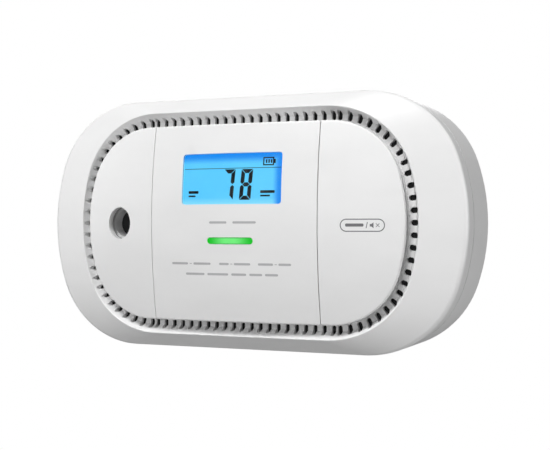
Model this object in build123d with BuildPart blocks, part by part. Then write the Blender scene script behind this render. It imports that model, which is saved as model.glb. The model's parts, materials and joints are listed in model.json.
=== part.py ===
from build123d import *
import os
from math import asin, atan2, cos, degrees, radians, sin, sqrt, tan

# Carbon monoxide alarm with a domed front, an LCD, a ring of vents, a horn port and a push panel.
# Millimetres. X runs along the alarm, +Z is up and the front faces -Y.
# The origin is the centre of the bracket's back, the face that lies on the wall.
# "Distance" always means distance from that wall face towards the room.

os.makedirs("parts", exist_ok=True)

# Case. An oval is (half length, half height, corner arc radius, end arc radius).
CASE = (62.3, 34.8, 26.2, 53.0)
CASE_DEPTH = 36.0
BACK_FACE = 0.4
SEAM = 20.3
SEAM_GAP = 0.4
WALL = 2.0
BACK_EDGE_RADIUS = 4.0
# The rim slopes in a straight line from the case's front edge towards the crown oval, which it would
# reach at the case's full depth: gently at the ends, steeply at the top and bottom.
EDGE = 26.2
EDGE_RADIUS = 1.5
CROWN = (31.1, 27.2, 14.8, 53.4)
RIM_SINK = 1.4
DOME_RADIUS_LONG = 241.0
DOME_RADIUS_TALL = 136.0
DOME_SWEEP = 40.0
DOME_BACK = 20.0

# Raised plateau on the front, and the vent channel around it.
PLATEAU = (47.2, 26.8, 19.2, 46.0)
PLATEAU_WALL = 1.8
PLATEAU_EDGE_RADIUS = 0.5
CHANNEL_FLOOR = 27.5
CHANNEL_FLOOR_WIDTH = 1.9
CHANNEL_SLOPE = 64.0
CHANNEL_WALL = 1.0
CHANNEL_LIP_RADIUS = 0.25
SLOT_LENGTH = 2.6
SLOT_MIDDLE = 1.6
SLOT_CUT = 5.5
MESH_THICKNESS = 0.4
MESH_SPAN = (-1.2, 3.0)
STRAIGHT_SLOTS = 21
STRAIGHT_SLOT_PITCH = 2.66
STRAIGHT_SLOT_WIDTH = 1.2
CORNER_SLOTS = 9
CORNER_SLOT_STEP = 7.9
CORNER_SLOT_MARGIN = 6.2
CORNER_SLOT_WIDTH = 1.3
END_SLOTS = 9
END_SLOT_STEP = 3.9
END_SLOT_WIDTH = 1.5

# The plateau is a fixed middle between two D-shaped panels.
PANEL_SEAM_X = 24.6
PANEL_GAP = 0.18
PANEL_SEAM_RADIUS = 0.12
PANEL_FLOOR = 1.5
HORN_PANEL_RECESS = 2.3
HORN_PANEL_THICKNESS = 2.2
BUTTON_RECESS = 3.2
BUTTON_THICKNESS = 1.4

# Display window, tilted so that it lies along the dome at its own height. The lens and the front of
# the LCD follow the dome, each at its own depth below the face.
WINDOW_WIDTH = 29.5
WINDOW_HEIGHT = 13.8
WINDOW_Z = 11.9
WINDOW_CORNER = 0.8
FIT = 0.1
SMALL_ROUND = 0.3
SMALL_CHAMFER = 0.2
LENS_RECESS = 0.1
LENS_BACK = 0.5
LCD_THICKNESS = 2.25
BACKLIGHT_SIZE = (31.6, 16.0, 2.4)
BACKLIGHT_DROP = LENS_BACK + LCD_THICKNESS + 2 * FIT
BACKLIGHT_CORNER = 0.5
LCD_FRAME_WALL = 1.4
LCD_FRAME_LENGTH = 12.0
PIN_COUNT = 14
PIN_PITCH = 2.0
PIN_RADIUS = 0.25
PIN_LENGTH = 10.5
PIN_ROW_RISE = 9.2

# Status light bar. Its flange is (width, distance in front of the board, thickness).
LIGHT_BAR_WIDTH = 13.5
LIGHT_BAR_HEIGHT = 1.8
LIGHT_BAR_Z = -4.8
LIGHT_BAR_RECESS = 0.12
LIGHT_BAR_FLANGE = (1.0, 4.0, 1.2)
LED_X = (-4.2, 0.0, 4.2)
LED_SIZE = (2.8, 3.5)
LED_GAP = 0.3
LED_HEIGHT = 1.3

# Circuit board.
BOARD_BACK = 21.3
BOARD_THICKNESS = 1.6
BOARD_FRONT = BOARD_BACK + BOARD_THICKNESS
BOARD_SIZE = (88.0, 46.0)
BOARD_CORNER = 9.0
BOARD_SCREWS = (25.5, 19.5)
BOARD_POST_RADIUS = 2.5
BOARD_POST_HEIGHT = 7.3
BOARD_SCREW_RADIUS = 1.0
BOARD_SCREW_GRIP = 4.0
BOARD_SCREW_HEAD = (1.9, 1.3, 0.5)
BOARD_SCREW_CROSS = (2.2, 0.5, 0.6)

# Parts on the board. The coil is a spool: core and flange radii, core length and flange thickness.
CONTROLLER_PLACE = (0.0, -14.5)
CONTROLLER_SIZE = 9.0
CONTROLLER_HEIGHT = 1.4
CONTROLLER_STANDOFF = 0.2
CONTROLLER_LEG = (1.6, 0.4, 0.5)
CONTROLLER_LEGS = 9
CONTROLLER_LEG_PITCH = 0.9
CONTROLLER_LEG_SPAN = 10.4
CAPACITOR_PLACES = ((-14.0, 14.0), (-6.0, 14.0))
CAPACITOR_RADIUS = 3.15
CAPACITOR_LENGTH = 7.0
COIL_PLACE = (-12.0, -15.0)
COIL_CORE = (3.4, 5.0)
COIL_FLANGE = (4.2, 1.0)
SENSOR_PLACE = (-36.0, 0.0)
SENSOR_RADIUS = 9.0
SENSOR_HEIGHT = 14.0
SENSOR_STANDOFF = 0.6
SENSOR_ROUND = 0.8
SENSOR_PIN = (0.6, 5.5)
SENSOR_CAP_RADIUS = 6.5
SENSOR_CAP_HEIGHT = 1.6
SENSOR_CAP_HOLE = (0.7, 2.6)

# Horn. Its port in the panel is an upright ellipse, given as half width and half height.
HORN_X = -35.9
HORN_PORT = (3.85, 4.45)
HORN_OPENING_RADIUS = 6.4
GASKET_RADIUS = 6.2
GASKET_HOLE_RADIUS = 4.8
SLEEVE_RADIUS = 4.6
SLEEVE_HOLE_RADIUS = 3.9
SLEEVE_FRONT = 29.4
SLEEVE_BACK = 25.6
HORN_CUP_X = -34.6
HORN_CUP_RADIUS = 10.4
HORN_CUP_FRONT = 27.6
HORN_AIR_GAP = 0.5
SOUND_HOLE_RADIUS = 1.2
PIEZO_RADIUS = 9.0
PIEZO_FRONT = 24.6
PIEZO_THICKNESS = 0.3
PIEZO_SEAT = 1.0
CERAMIC_RADIUS = 6.5
CERAMIC_THICKNESS = 0.25

# Push panel and its switch.
BUTTON_X = 36.4
BUTTON_ROD_RADIUS = 2.0
BUTTON_ROD_LENGTH = 4.5
BUTTON_ROD_CLEARANCE = 0.5
SWITCH_SIZE = 6.2
SWITCH_CORNER = 0.6
SWITCH_LEG = (2.0, 0.7, 0.3)
SWITCH_LEG_SPACING = (8.0, 4.5)
SWITCH_WELL = 1.4
PLUNGER_CLEARANCE = 0.08
PLUNGER_ROOT = 0.7
SWITCH_TOP = 26.4
PLUNGER_TOP = 28.0
PLUNGER_RADIUS = 1.7
LEG_PLACES = ((28.6, 12.0), (28.6, -12.0), (41.0, 9.5), (41.0, -9.5))
LEG_SIZE = (1.2, 3.0)
LEG_LENGTH = 5.4
LEG_OPENING = (2.8, 3.6)
BARB_DROP = 0.7
BARB_HEIGHT = 1.2

# Case screws, two at each end.
CASE_SCREWS = (53.0, 13.0)
CASE_BOSS_RADIUS = 3.4
SCREW_RADIUS = 1.25
SCREW_HEAD_RADIUS = 2.4
SCREW_HEAD_HEIGHT = 1.8
SCREW_HEAD_ROUND = 0.7
SCREW_CROSS = (2.8, 0.6, 0.9)
SCREW_CLEARANCE = 0.2
SCREW_SEAT = 8.0
SCREW_TIP = 25.2
SCREW_HOLE_END = 26.0
TONGUE_ROOT = 4.0
TONGUE_HEIGHT = 1.8
TONGUE_WALL = 1.0

# Battery bay and its door.
BAY_X = 38.0
BAY_HALF_WIDTH = 8.8
BAY_HALF_HEIGHT = 21.0
BAY_WALL = 1.2
BAY_FLOOR = 20.3
BAY_CEILING = 21.1
DOOR_FRAME = (2.2, 3.9)
DOOR_HALF_WIDTH = 11.0
DOOR_HALF_HEIGHT = 22.8
DOOR_GAP = 0.3
DOOR_THICKNESS = 1.8
SCOOP_SIZE = (10.0, 4.0, 1.4)
GRIP_LINE = (9.0, 0.7, 0.5)
GRIP_PITCH = 1.6
GRIP_DROP = 5.5
HINGE_DISTANCE = BACK_FACE + DOOR_THICKNESS / 2
HINGE_Z = -21.6
HINGE_PIN_RADIUS = 0.75
HINGE_CLEARANCE = 0.06
HINGE_PIN_LENGTH = 1.3
HINGE_END_GAP = 0.2
BATTERY_RADIUS = 8.5
BATTERY_LENGTH = 34.5
BATTERY_DISTANCE = 11.6
BATTERY_BOTTOM = -15.2
BATTERY_ROUND = 0.8
BATTERY_NUB = (3.4, 1.0)
PLATE_SIZE = 11.0
PLATE_THICKNESS = 0.4
PLATE_TIP_RADIUS = 1.6
SPRING_WIRE_RADIUS = 0.35

# Wall bracket.
BRACKET_WIDTH = 44.0
BRACKET_HEIGHT = 42.0
BRACKET_THICKNESS = 2.0
BRACKET_CORNER = 4.0
BRACKET_SLIDE = 3.2
RECESS_FLOOR = 2.7
RECESS_SKIN = 1.8
BRACKET_MARGIN = 0.5
HOOK_PLACES = ((-14.0, 10.0), (14.0, 10.0), (-14.0, -14.0), (14.0, -14.0))
HOOK_WIDTH = 6.0
HOOK_STEM = 2.0
HOOK_LIP = 2.4
HOOK_LIP_THICKNESS = 1.6
HOOK_LIP_GAP = 0.3
HOOK_CLEARANCE = 0.8
BRACKET_ROUND = 0.4
WALL_SCREW_SPACING = 30.0
WALL_SCREW_RADIUS = 2.1
LABEL_SIZE = (20.0, 30.0, 1.5)
LABEL_THICKNESS = 0.15

VERTICAL = Axis((0, DOME_RADIUS_LONG - CASE_DEPTH, 0), (0, 0, 1))


def wall_plane(distance):
    """Plane parallel to the wall at a distance from it, facing the room."""
    return Plane.XZ.offset(distance)


def save(builder, name):
    """Label a finished piece and write its STEP file."""
    builder.part.label = name
    export_step(builder.part, f"parts/{name}.step")


def centres(oval):
    """Corner arc centre x and z, end arc centre x, and the angle in degrees where the two arcs meet."""
    half_x, half_z, corner_r, end_r = oval
    end_x = half_x - end_r
    corner_z = half_z - corner_r
    corner_x = end_x + sqrt((end_r - corner_r) ** 2 - corner_z**2)
    return corner_x, corner_z, end_x, degrees(atan2(corner_z, corner_x - end_x))


class Oval(BaseSketchObject):
    """Flat-sided oval: straight long sides, corner arcs and flatter end arcs, all tangent."""

    def __init__(self, oval, grow=0.0, mode=Mode.ADD):
        corner_x, corner_z, end_x, swing = centres(oval)
        half_z = oval[1] + grow
        corner_r = oval[2] + grow
        end_r = oval[3] + grow
        with BuildSketch() as face:
            with BuildLine():
                Line((-corner_x, half_z), (corner_x, half_z))
                CenterArc((corner_x, corner_z), corner_r, swing, 90 - swing)
                CenterArc((end_x, 0), end_r, -swing, 2 * swing)
                CenterArc((corner_x, -corner_z), corner_r, -90, 90 - swing)
                Line((corner_x, -half_z), (-corner_x, -half_z))
                CenterArc((-corner_x, -corner_z), corner_r, 180 + swing, 90 - swing)
                CenterArc((-end_x, 0), end_r, 180 - swing, 2 * swing)
                CenterArc((-corner_x, corner_z), corner_r, 90, 90 - swing)
            make_face()
        super().__init__(obj=face.sketch, mode=mode)


def case_form(inset):
    """Front half of the case, moved inwards by a wall thickness: straight sides and sloping rim."""
    start = SEAM + SEAM_GAP / 2 - inset
    sink = inset * RIM_SINK / WALL
    with BuildPart() as form:
        with BuildSketch(wall_plane(start)):
            Oval(CASE, grow=-inset)
        extrude(amount=EDGE - sink - start)
        with BuildSketch(wall_plane(EDGE - sink)):
            Oval(CASE, grow=-inset)
        with BuildSketch(wall_plane(CASE_DEPTH - sink)):
            Oval(CROWN, grow=-inset)
        loft(ruled=True)
    return form.part


def dome(drop):
    """Solid behind the domed front, its surface a given depth below the face."""
    with BuildPart() as bulge:
        with BuildSketch(Plane.YZ):
            with BuildLine():
                face_arc = CenterArc(
                    (DOME_RADIUS_TALL - CASE_DEPTH, 0),
                    DOME_RADIUS_TALL - drop,
                    180 - DOME_SWEEP / 2,
                    DOME_SWEEP,
                )
                low = face_arc @ 1
                high = face_arc @ 0
                Polyline(low, (DOME_BACK, low.Y), (DOME_BACK, high.Y), high)
            make_face()
        revolve(axis=VERTICAL, revolution_arc=DOME_SWEEP)
    return bulge.part.rotate(VERTICAL, -DOME_SWEEP / 2)


def face_distance(x, z):
    """Distance of the domed face from the wall at a point of the front."""
    across = DOME_RADIUS_LONG - sqrt(DOME_RADIUS_LONG**2 - x**2)
    up = DOME_RADIUS_TALL - sqrt(DOME_RADIUS_TALL**2 - z**2)
    return CASE_DEPTH - across - up


def channel_funnel(wall):
    """Solid oval funnel: the vent channel's floor and slope, moved outwards by a wall thickness."""
    cot = 1 / tan(radians(CHANNEL_SLOPE))
    floor = CHANNEL_FLOOR - wall
    top = CASE_DEPTH + 1
    shift = CHANNEL_FLOOR_WIDTH + wall / sin(radians(CHANNEL_SLOPE))
    with BuildPart() as funnel:
        with BuildSketch(wall_plane(floor)):
            Oval(PLATEAU, grow=shift - wall * cot)
        with BuildSketch(wall_plane(top)):
            Oval(PLATEAU, grow=shift + (top - CHANNEL_FLOOR) * cot)
        loft(ruled=True)
    return funnel.part


def straight_slots():
    """Places of the vent slots along the plateau's top and bottom, each with its direction."""
    half_z = PLATEAU[1] + SLOT_MIDDLE
    middle = (STRAIGHT_SLOTS - 1) / 2
    return [
        Location(((index - middle) * STRAIGHT_SLOT_PITCH, side * half_z), 90)
        for index in range(STRAIGHT_SLOTS)
        for side in (1, -1)
    ]


def corner_slots():
    """Places of the vent slots around the plateau's four corner arcs, each pointing outwards."""
    corner_x, corner_z, _, swing = centres(PLATEAU)
    radius = PLATEAU[2] + SLOT_MIDDLE
    places = []
    for index in range(CORNER_SLOTS):
        turn = swing + CORNER_SLOT_MARGIN + index * CORNER_SLOT_STEP
        x = corner_x + radius * cos(radians(turn))
        z = corner_z + radius * sin(radians(turn))
        for right in (1, -1):
            for up in (1, -1):
                places.append(Location((right * x, up * z), right * up * turn))
    return places


def end_slots():
    """Places of the vent slots around the plateau's two end arcs, each pointing outwards."""
    _, _, end_x, _ = centres(PLATEAU)
    radius = PLATEAU[3] + SLOT_MIDDLE
    places = []
    for index in range(END_SLOTS):
        turn = (index - (END_SLOTS - 1) / 2) * END_SLOT_STEP
        x = end_x + radius * cos(radians(turn))
        z = radius * sin(radians(turn))
        places += [Location((right * x, z), right * turn) for right in (1, -1)]
    return places


def four_corners(place):
    """The four mirror images of a point."""
    return [(right * place[0], up * place[1]) for right in (1, -1) for up in (1, -1)]


# The display's own plane: on the dome at the window's middle, facing straight out of it.
display_tilt = asin(WINDOW_Z / DOME_RADIUS_TALL)
display_plane = Plane(
    origin=(0, -face_distance(0, WINDOW_Z), WINDOW_Z),
    x_dir=(1, 0, 0),
    z_dir=(0, -cos(display_tilt), sin(display_tilt)),
)

# Hollow of the front cover, with room left for the channel's wall.
with BuildPart() as front_hollow:
    add(case_form(WALL))
    add(channel_funnel(CHANNEL_WALL), mode=Mode.SUBTRACT)

# Hollows under the plateau, each a wall thickness behind the face or the recess in front of it.
with BuildPart() as middle_hollow:
    with BuildSketch(wall_plane(SEAM - WALL)):
        Oval(PLATEAU, grow=-PLATEAU_WALL)
        Rectangle(2 * (PANEL_SEAM_X - PANEL_FLOOR), CASE[0], mode=Mode.INTERSECT)
    extrude(amount=CASE_DEPTH)
    add(dome(WALL), mode=Mode.INTERSECT)

with BuildPart() as horn_side_hollow:
    with BuildSketch(wall_plane(SEAM - WALL)):
        Oval(PLATEAU, grow=-PLATEAU_WALL)
        Rectangle(CASE[0], CASE[0], align=(Align.MAX, Align.CENTER), mode=Mode.INTERSECT)
    extrude(amount=CASE_DEPTH)
    add(dome(HORN_PANEL_RECESS + PANEL_FLOOR), mode=Mode.INTERSECT)

with BuildPart() as button_side_hollow:
    with BuildSketch(wall_plane(SEAM - WALL)):
        Oval(PLATEAU, grow=-PLATEAU_WALL)
        Rectangle(CASE[0], CASE[0], align=(Align.MIN, Align.CENTER), mode=Mode.INTERSECT)
    extrude(amount=CASE_DEPTH)
    add(dome(BUTTON_RECESS + PANEL_FLOOR), mode=Mode.INTERSECT)

# The plateau, before its two ends are cut back for the panels.
with BuildPart() as plateau:
    with BuildSketch(wall_plane(CHANNEL_FLOOR - CHANNEL_WALL)):
        Oval(PLATEAU)
    extrude(amount=CASE_DEPTH)
    add(dome(0), mode=Mode.INTERSECT)
    fillet(plateau.faces().sort_by(Axis.Y)[0].edges(), PLATEAU_EDGE_RADIUS)

# The two D-shaped recesses that take the panels.
with BuildPart() as horn_panel_recess:
    with BuildSketch(wall_plane(SEAM)):
        Oval(PLATEAU, grow=PANEL_GAP)
        with Locations((-PANEL_SEAM_X + PANEL_GAP / 2, 0)):
            Rectangle(CASE[0], CASE[0], align=(Align.MAX, Align.CENTER), mode=Mode.INTERSECT)
    extrude(amount=CASE_DEPTH)
    add(dome(HORN_PANEL_RECESS), mode=Mode.SUBTRACT)

with BuildPart() as button_recess:
    with BuildSketch(wall_plane(SEAM)):
        Oval(PLATEAU, grow=PANEL_GAP)
        with Locations((PANEL_SEAM_X - PANEL_GAP / 2, 0)):
            Rectangle(CASE[0], CASE[0], align=(Align.MIN, Align.CENTER), mode=Mode.INTERSECT)
    extrude(amount=CASE_DEPTH)
    add(dome(BUTTON_RECESS), mode=Mode.SUBTRACT)

# Bosses for the case screws, ending inside the rim's wall.
with BuildPart() as case_bosses:
    with BuildSketch(wall_plane(SEAM + SEAM_GAP / 2)):
        with Locations(*four_corners(CASE_SCREWS)):
            Circle(CASE_BOSS_RADIUS)
    extrude(amount=CASE_DEPTH - SEAM)
    add(case_form(WALL / 2), mode=Mode.INTERSECT)

# Front cover: sides, sloping rim, vent ring and the middle of the plateau in one moulding.
with BuildPart() as front_cover:
    add(case_form(0))
    front_edge = front_cover.edges().filter_by_position(Axis.Y, -EDGE - 0.01, -EDGE + 0.01)
    fillet(front_edge, EDGE_RADIUS)
    add(channel_funnel(0), mode=Mode.SUBTRACT)
    fillet(front_cover.edges().filter_by_position(Axis.Y, -CASE_DEPTH, -EDGE - WALL), CHANNEL_LIP_RADIUS)
    add(plateau.part)
    add(front_hollow.part, mode=Mode.SUBTRACT)
    add(middle_hollow.part, mode=Mode.SUBTRACT)
    add(horn_side_hollow.part, mode=Mode.SUBTRACT)
    add(button_side_hollow.part, mode=Mode.SUBTRACT)
    add(horn_panel_recess.part, mode=Mode.SUBTRACT)
    add(button_recess.part, mode=Mode.SUBTRACT)
    add(case_bosses.part)
    # posts for the circuit board, with their screw holes
    with BuildSketch(wall_plane(BOARD_FRONT)):
        with Locations(*four_corners(BOARD_SCREWS)):
            Circle(BOARD_POST_RADIUS)
    extrude(amount=BOARD_POST_HEIGHT)
    with BuildSketch(wall_plane(BOARD_FRONT)):
        with Locations(*four_corners(BOARD_SCREWS)):
            Circle(BOARD_SCREW_RADIUS)
    extrude(amount=BOARD_SCREW_GRIP, mode=Mode.SUBTRACT)
    with BuildSketch(wall_plane(SEAM)):
        with Locations(*four_corners(CASE_SCREWS)):
            Circle(SCREW_RADIUS)
    extrude(amount=SCREW_HOLE_END - SEAM, mode=Mode.SUBTRACT)
    # display window and light bar opening
    with BuildSketch(display_plane.offset(WALL)):
        RectangleRounded(WINDOW_WIDTH, WINDOW_HEIGHT, WINDOW_CORNER)
    extrude(amount=-4 * WALL, mode=Mode.SUBTRACT)
    with BuildSketch(wall_plane(BOARD_FRONT + 6)):
        with Locations((0, LIGHT_BAR_Z)):
            SlotOverall(LIGHT_BAR_WIDTH + FIT, LIGHT_BAR_HEIGHT + FIT)
    extrude(amount=10, mode=Mode.SUBTRACT)
    # horn opening, push rod opening and leg openings in the recess floors
    with BuildSketch(wall_plane(BOARD_FRONT + 3)):
        with Locations((HORN_X, 0)):
            Circle(HORN_OPENING_RADIUS)
        with Locations((BUTTON_X, 0)):
            Circle(BUTTON_ROD_RADIUS + BUTTON_ROD_CLEARANCE)
        with Locations(*LEG_PLACES):
            Rectangle(*LEG_OPENING)
    extrude(amount=8, mode=Mode.SUBTRACT)
    # vent slots
    with BuildSketch(wall_plane(CHANNEL_FLOOR - CHANNEL_WALL - 0.5)):
        with Locations(*straight_slots()):
            SlotOverall(SLOT_LENGTH, STRAIGHT_SLOT_WIDTH)
        with Locations(*corner_slots()):
            SlotOverall(SLOT_LENGTH, CORNER_SLOT_WIDTH)
        with Locations(*end_slots()):
            SlotOverall(SLOT_LENGTH, END_SLOT_WIDTH)
    extrude(amount=SLOT_CUT, mode=Mode.SUBTRACT)
save(front_cover, "front_cover")

# Left D panel, with the horn's port.
with BuildPart() as horn_panel:
    with BuildSketch(wall_plane(SEAM)):
        with Locations((-PANEL_SEAM_X - PANEL_GAP / 2, 0)):
            Rectangle(CASE[0], 2 * CASE[1], align=(Align.MAX, Align.CENTER))
    extrude(amount=CASE_DEPTH)
    add(plateau.part, mode=Mode.INTERSECT)
    add(dome(HORN_PANEL_THICKNESS), mode=Mode.SUBTRACT)
    with BuildSketch(wall_plane(SEAM)):
        with Locations((HORN_X, 0)):
            Ellipse(*HORN_PORT)
    extrude(amount=CASE_DEPTH, mode=Mode.SUBTRACT)
    fillet(horn_panel.faces().filter_by(Axis.X).edges().sort_by(Axis.Y)[0], PANEL_SEAM_RADIUS)
save(horn_panel, "horn_panel")

# Right D panel: the push button, with a rod for its switch and four snap legs.
with BuildPart() as test_button:
    with BuildSketch(wall_plane(SEAM)):
        with Locations((PANEL_SEAM_X + PANEL_GAP / 2, 0)):
            Rectangle(CASE[0], 2 * CASE[1], align=(Align.MIN, Align.CENTER))
    extrude(amount=CASE_DEPTH)
    add(plateau.part, mode=Mode.INTERSECT)
    add(dome(BUTTON_THICKNESS), mode=Mode.SUBTRACT)
    fillet(test_button.faces().filter_by(Axis.X).edges().sort_by(Axis.Y)[0], PANEL_SEAM_RADIUS)
    with BuildSketch(wall_plane(PLUNGER_TOP + 0.05)):
        with Locations((BUTTON_X, 0)):
            Circle(BUTTON_ROD_RADIUS)
    extrude(amount=BUTTON_ROD_LENGTH)
    for leg_x, leg_z in LEG_PLACES:
        floor_back = face_distance(leg_x, leg_z) - BUTTON_RECESS - PANEL_FLOOR
        with BuildSketch(wall_plane(floor_back - BARB_DROP - BARB_HEIGHT)):
            with Locations((leg_x, leg_z)):
                Rectangle(*LEG_SIZE)
        extrude(amount=LEG_LENGTH)
        with BuildSketch(wall_plane(floor_back - BARB_DROP - BARB_HEIGHT)):
            with Locations((leg_x + LEG_SIZE[0], leg_z)):
                Rectangle(*LEG_SIZE)
        extrude(amount=BARB_HEIGHT)
save(test_button, "test_button")

# Display: clear lens in the window, LCD glass behind it, light guide, frame and pins.
with BuildPart() as display_lens:
    with BuildSketch(display_plane.offset(WALL)):
        RectangleRounded(WINDOW_WIDTH - FIT, WINDOW_HEIGHT - FIT, WINDOW_CORNER)
    extrude(amount=-2 * WALL)
    add(dome(LENS_RECESS), mode=Mode.INTERSECT)
    add(dome(LENS_BACK), mode=Mode.SUBTRACT)
save(display_lens, "display_lens")

with BuildPart() as lcd_glass:
    with BuildSketch(display_plane.offset(-LENS_BACK - FIT - LCD_THICKNESS)):
        RectangleRounded(WINDOW_WIDTH - 2 * FIT, WINDOW_HEIGHT - 2 * FIT, WINDOW_CORNER)
    extrude(amount=LCD_THICKNESS + LENS_BACK)
    add(dome(LENS_BACK + FIT), mode=Mode.INTERSECT)
save(lcd_glass, "lcd_glass")

with BuildPart() as lcd_backlight:
    with BuildSketch(display_plane.offset(-BACKLIGHT_DROP)):
        RectangleRounded(BACKLIGHT_SIZE[0], BACKLIGHT_SIZE[1], BACKLIGHT_CORNER)
    extrude(amount=-BACKLIGHT_SIZE[2])
    fillet(lcd_backlight.edges().filter_by(Axis.X), SMALL_ROUND)
save(lcd_backlight, "lcd_backlight")

with BuildPart() as lcd_frame:
    with BuildSketch(display_plane.offset(-BACKLIGHT_DROP - BACKLIGHT_SIZE[2])):
        RectangleRounded(BACKLIGHT_SIZE[0], BACKLIGHT_SIZE[1], BACKLIGHT_CORNER)
        Rectangle(
            BACKLIGHT_SIZE[0] - 2 * LCD_FRAME_WALL,
            BACKLIGHT_SIZE[1] - 2 * LCD_FRAME_WALL,
            mode=Mode.SUBTRACT,
        )
    extrude(amount=-LCD_FRAME_LENGTH)
    split(bisect_by=wall_plane(BOARD_FRONT), keep=Keep.TOP)
save(lcd_frame, "lcd_frame")

with BuildPart() as lcd_pins:
    with BuildSketch(wall_plane(BOARD_BACK - 1)):
        with Locations((0, WINDOW_Z + PIN_ROW_RISE)):
            with GridLocations(PIN_PITCH, 0, PIN_COUNT, 1):
                Circle(PIN_RADIUS)
    extrude(amount=PIN_LENGTH)
save(lcd_pins, "lcd_pins")

# Light bar: a clear guide from the three LEDs to the face.
with BuildPart() as light_bar:
    with BuildSketch(wall_plane(BOARD_FRONT + LED_HEIGHT + LED_GAP)):
        with Locations((0, LIGHT_BAR_Z)):
            SlotOverall(LIGHT_BAR_WIDTH, LIGHT_BAR_HEIGHT)
    extrude(amount=CASE_DEPTH)
    add(dome(LIGHT_BAR_RECESS), mode=Mode.INTERSECT)
    with BuildSketch(wall_plane(BOARD_FRONT + LIGHT_BAR_FLANGE[1])):
        with Locations((0, LIGHT_BAR_Z)):
            SlotOverall(LIGHT_BAR_WIDTH + 2 * LIGHT_BAR_FLANGE[0], LIGHT_BAR_HEIGHT + 2 * LIGHT_BAR_FLANGE[0])
    extrude(amount=LIGHT_BAR_FLANGE[2])
save(light_bar, "light_bar")

with BuildPart() as status_leds:
    with BuildSketch(wall_plane(BOARD_FRONT)):
        with Locations(*[(x, LIGHT_BAR_Z) for x in LED_X]):
            Rectangle(*LED_SIZE)
    extrude(amount=LED_HEIGHT)
    chamfer(status_leds.faces().sort_by(Axis.Y)[0:3].edges(), SMALL_CHAMFER)
save(status_leds, "status_leds")

# Circuit board with holes for its screws and the display pins.
with BuildPart() as circuit_board:
    with BuildSketch(wall_plane(BOARD_BACK)):
        RectangleRounded(BOARD_SIZE[0], BOARD_SIZE[1], BOARD_CORNER)
        with Locations(*four_corners(BOARD_SCREWS)):
            Circle(BOARD_SCREW_RADIUS + SMALL_CHAMFER, mode=Mode.SUBTRACT)
        with Locations((0, WINDOW_Z + PIN_ROW_RISE)):
            with GridLocations(PIN_PITCH, 0, PIN_COUNT, 1):
                Circle(PIN_RADIUS + FIT, mode=Mode.SUBTRACT)
    extrude(amount=BOARD_THICKNESS)
save(circuit_board, "circuit_board")

with BuildPart() as board_screws:
    with BuildSketch(wall_plane(BOARD_BACK)):
        with Locations(*four_corners(BOARD_SCREWS)):
            Circle(BOARD_SCREW_HEAD[0])
    extrude(amount=-BOARD_SCREW_HEAD[1])
    fillet(board_screws.edges().group_by(Axis.Y)[-1], BOARD_SCREW_HEAD[2])
    with BuildSketch(wall_plane(BOARD_BACK)):
        with Locations(*four_corners(BOARD_SCREWS)):
            Circle(BOARD_SCREW_RADIUS)
    extrude(amount=BOARD_THICKNESS + BOARD_SCREW_GRIP - BOARD_SCREW_CROSS[2])
    with BuildSketch(wall_plane(BOARD_BACK - BOARD_SCREW_HEAD[1])):
        with Locations(*four_corners(BOARD_SCREWS)):
            Rectangle(BOARD_SCREW_CROSS[0], BOARD_SCREW_CROSS[1])
            Rectangle(BOARD_SCREW_CROSS[1], BOARD_SCREW_CROSS[0])
    extrude(amount=BOARD_SCREW_CROSS[2], mode=Mode.SUBTRACT)
save(board_screws, "board_screws")

# Parts soldered on the board.
with BuildPart() as microcontroller:
    with BuildSketch(wall_plane(BOARD_FRONT + CONTROLLER_STANDOFF)):
        with Locations(CONTROLLER_PLACE):
            Rectangle(CONTROLLER_SIZE, CONTROLLER_SIZE)
    extrude(amount=CONTROLLER_HEIGHT)
    chamfer(microcontroller.edges().group_by(Axis.Y)[0], SMALL_CHAMFER)
    with BuildSketch(wall_plane(BOARD_FRONT)):
        with Locations(CONTROLLER_PLACE):
            with GridLocations(CONTROLLER_LEG_PITCH, CONTROLLER_LEG_SPAN, CONTROLLER_LEGS, 2):
                Rectangle(CONTROLLER_LEG[1], CONTROLLER_LEG[0])
            with GridLocations(CONTROLLER_LEG_SPAN, CONTROLLER_LEG_PITCH, 2, CONTROLLER_LEGS):
                Rectangle(CONTROLLER_LEG[0], CONTROLLER_LEG[1])
    extrude(amount=CONTROLLER_LEG[2])
save(microcontroller, "microcontroller")

with BuildPart() as capacitors:
    with BuildSketch(wall_plane(BOARD_BACK)):
        with Locations(*CAPACITOR_PLACES):
            Circle(CAPACITOR_RADIUS)
    extrude(amount=-CAPACITOR_LENGTH)
    fillet(capacitors.edges().group_by(Axis.Y)[-1], 2 * SMALL_ROUND)
save(capacitors, "capacitors")

with BuildPart() as horn_coil:
    with BuildSketch(wall_plane(BOARD_BACK)):
        with Locations(COIL_PLACE):
            Circle(COIL_FLANGE[0])
    extrude(amount=-COIL_FLANGE[1])
    with BuildSketch(wall_plane(BOARD_BACK - COIL_FLANGE[1])):
        with Locations(COIL_PLACE):
            Circle(COIL_CORE[0])
    extrude(amount=-COIL_CORE[1])
    with BuildSketch(wall_plane(BOARD_BACK - COIL_FLANGE[1] - COIL_CORE[1])):
        with Locations(COIL_PLACE):
            Circle(COIL_FLANGE[0])
    extrude(amount=-COIL_FLANGE[1])
save(horn_coil, "horn_coil")

# Electrochemical carbon monoxide cell on the back of the board, with its filter cap.
with BuildPart() as co_sensor:
    with BuildSketch(wall_plane(BOARD_BACK - SENSOR_STANDOFF)):
        with Locations(SENSOR_PLACE):
            Circle(SENSOR_RADIUS)
    extrude(amount=-SENSOR_HEIGHT)
    fillet(co_sensor.edges().filter_by(GeomType.CIRCLE), SENSOR_ROUND)
    with BuildSketch(wall_plane(BOARD_BACK)):
        with Locations(SENSOR_PLACE):
            with PolarLocations(SENSOR_PIN[1], 3):
                Circle(SENSOR_PIN[0])
    extrude(amount=-2 * SENSOR_STANDOFF)
save(co_sensor, "co_sensor")

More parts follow.
